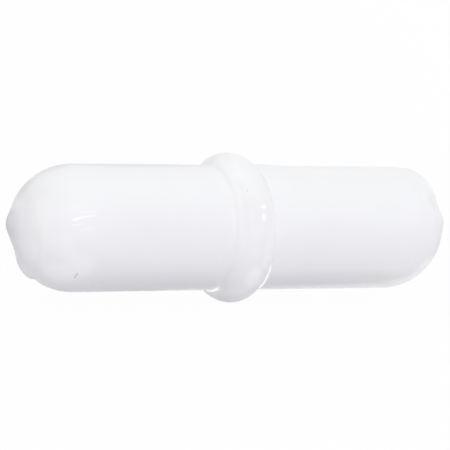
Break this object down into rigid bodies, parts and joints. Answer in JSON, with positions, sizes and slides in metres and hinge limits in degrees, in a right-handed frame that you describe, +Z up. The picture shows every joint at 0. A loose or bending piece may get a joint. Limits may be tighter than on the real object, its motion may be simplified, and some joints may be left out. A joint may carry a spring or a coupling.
{
  "type": "magnetic stir bar",
  "caption": "White PTFE-coated magnetic stir bar: a round barrel with domed, bluntly pointed ends and a rounded pivot ring near its middle.",
  "frame": {"origin": "middle of the bar over its two domes, on the barrel's axis, 0.24 mm to the right of the pivot ring's middle", "axes": "+X along the bar's axis towards the end with the full shoulder, +Z up as the bar spins level on its pivot ring, +Y to the far side"},
  "size_m": [0.0309, 0.0096, 0.0096],
  "materials": {
    "ptfe": "smooth, slightly waxy gloss",
    "magnet": "ground, dull metallic"
  },
  "bodies": {
    "root": {"ptfe_jacket": "ptfe", "bar_magnet": "magnet"}
  },
  "joints": []
}
